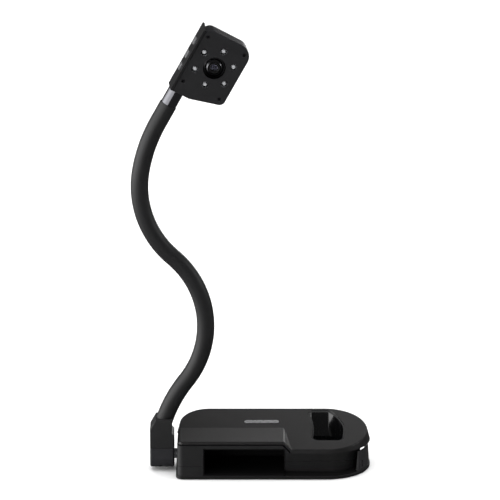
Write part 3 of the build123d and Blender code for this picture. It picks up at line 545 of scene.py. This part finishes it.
def make_lens_rings():
    """The ring that holds the lens glass, and the iris under it."""
    stamped(
        "lens_retainer", [circle(radius) for radius in RETAINER_RADII], *RETAINER_SHEET,
        "lens_ring_metal", head_place(0, 0, RETAINER_OUT), "head",
    )
    stamped(
        "lens_iris", [circle(radius) for radius in IRIS_RADII], *IRIS_SHEET,
        "lens_black", head_place(0, 0, IRIS_OUT), "head",
    )


def make_lamp_chips():
    """The chip under each lamp."""
    for number in range(LAMPS):
        angle = math.radians(LAMP_START + 360 // LAMPS * number)
        x, y = LAMP_CIRCLE * math.cos(angle), LAMP_CIRCLE * math.sin(angle)
        stamped(
            f"lamp_chip_{number + 1}", [bar(CHIP_SIDE, CHIP_SIDE)], *CHIP_SHEET,
            "badge_metal", head_place(x, y, BOARD_TOP), "head",
        )


def make_button_marks():
    """A ring, a dot and a bar on the three buttons, which ride with them."""
    inner, outer = MARK_RADII
    marks = (circle(inner), circle(outer)), (circle(inner),), (bar(*MARK_BAR),)
    for number, outlines in enumerate(marks, start=1):
        button = f"button_{number}"
        low, high = (Vector(corner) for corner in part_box(button))
        reach = max(abs(part) for part in (high - low))
        hit = first_hit(button, middle_of(button) - ACROSS * reach, ACROSS)
        stamped(
            f"button_mark_{number}", list(outlines), *MARK_SHEET,
            "badge_metal", placed(hit + ACROSS * MARK_LIFT * MM, OUTWARD, UP), button,
        )


def make_socket_contacts():
    """The row of contacts inside the data socket."""
    low, high = (Vector(corner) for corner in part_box("usb_socket"))
    centre = (low + high) / 2
    for number, x in enumerate(CONTACT_ROW, start=1):
        spot = Vector((centre.x + x * MM, high.y - CONTACT_IN * MM, centre.z + CONTACT_LIFT * MM))
        stamped(
            f"socket_contact_{number}", [bar(*CONTACT_SIZE)], *CONTACT_SHEET,
            "bush_brass", placed(spot, Vector((1, 0, 0)), Vector((0, 1, 0))), "base",
        )


make_screw_faces()
make_lens_rings()
make_lamp_chips()
make_button_marks()
make_socket_contacts()


# ---------------------------------------------------------------- camera, floor and light
def make_camera():
    """A long lens at the height of a seated viewer."""
    data = bpy.data.cameras.new("camera")
    data.lens = CAMERA_LENS
    data.sensor_width = SENSOR_WIDTH
    data.clip_start, data.clip_end = CLIP_NEAR, CLIP_FAR
    camera = bpy.data.objects.new("camera", data)
    bpy.context.scene.collection.objects.link(camera)
    tilt = math.radians(CAMERA_ELEVATION)
    camera.location = TARGET + Vector((0, -math.cos(tilt), math.sin(tilt))) * CAMERA_DISTANCE
    camera.rotation_euler = (math.pi / 2 - tilt, 0, 0)
    bpy.context.scene.camera = camera


def make_floor():
    """A pale, faintly uneven floor that the gloss doesn't mirror."""
    mesh = bpy.data.meshes.new("floor")
    side = FLOOR_HALF
    corners = [(-side, -side, 0), (side, -side, 0), (side, side, 0), (-side, side, 0)]
    mesh.from_pydata(corners, [], [(0, 1, 2, 3)])
    floor = bpy.data.objects.new("floor", mesh)
    bpy.context.scene.collection.objects.link(floor)
    floor.visible_glossy = False
    s = Surface("floor", Specular_IOR_Level=0.1)
    cloud = s.noise(FLOOR_CLOUD, 3.0)
    pale = s.mixed(s.ranged(cloud, 0.0, 1.0), *FLOOR_TONES)
    mesh.materials.append(s.wear(pale, s.ranged(cloud, 0.7, 0.8)))


def make_overhead():
    """Even light from above, for the floor and the tops. It leaves no highlight."""
    data = bpy.data.lights.new("overhead", "SUN")
    data.energy = OVERHEAD_STRENGTH
    data.angle = math.radians(OVERHEAD_SPREAD)
    lamp = bpy.data.objects.new("overhead", data)
    bpy.context.scene.collection.objects.link(lamp)
    lamp.visible_glossy = False


def softbox(name, place, size, power):
    """A soft rectangular lamp that faces the object and is hidden from the camera."""
    data = bpy.data.lights.new(name, "AREA")
    data.shape = "RECTANGLE"
    data.size, data.size_y = size
    data.energy = power
    lamp = bpy.data.objects.new(name, data)
    bpy.context.scene.collection.objects.link(lamp)
    lamp.location = place
    lamp.rotation_euler = (TARGET - Vector(place)).to_track_quat("-Z", "Y").to_euler()
    lamp.visible_camera = False


def make_world():
    """White surroundings for the camera. What they light is dim, and brighter from the left."""
    world = bpy.data.worlds.new("studio")
    bpy.context.scene.world = world
    world.use_nodes = True
    nodes, links = world.node_tree.nodes, world.node_tree.links
    nodes.clear()
    seen, lit = (nodes.new("ShaderNodeBackground") for _ in range(2))
    for background in (seen, lit):
        background.inputs["Color"].default_value = (1.0, 1.0, 1.0, 1.0)
    seen.inputs["Strength"].default_value = 1.0
    way, parts, strength = (
        nodes.new(f"ShaderNode{kind}") for kind in ("TexCoord", "SeparateXYZ", "MapRange")
    )
    strength.interpolation_type = "SMOOTHSTEP"
    numbers = {"From Min": LEFT_EDGE, "From Max": DIM_EDGE, "To Min": LEFT_LIGHT, "To Max": DIM_LIGHT}
    for socket, number in numbers.items():
        strength.inputs[socket].default_value = number
    links.new(way.outputs["Generated"], parts.inputs["Vector"])
    links.new(parts.outputs["X"], strength.inputs["Value"])
    links.new(strength.outputs["Result"], lit.inputs["Strength"])
    path, mix, output = (nodes.new(f"ShaderNode{kind}") for kind in ("LightPath", "MixShader", "OutputWorld"))
    links.new(path.outputs["Is Camera Ray"], mix.inputs["Fac"])
    links.new(lit.outputs["Background"], mix.inputs[1])
    links.new(seen.outputs["Background"], mix.inputs[2])
    links.new(mix.outputs["Shader"], output.inputs["Surface"])


make_camera()
make_floor()
make_world()
make_overhead()
for name, place, size, power in SOFTBOXES:
    softbox(name, place, size, power)
bpy.context.scene.view_settings.view_transform = "Standard"
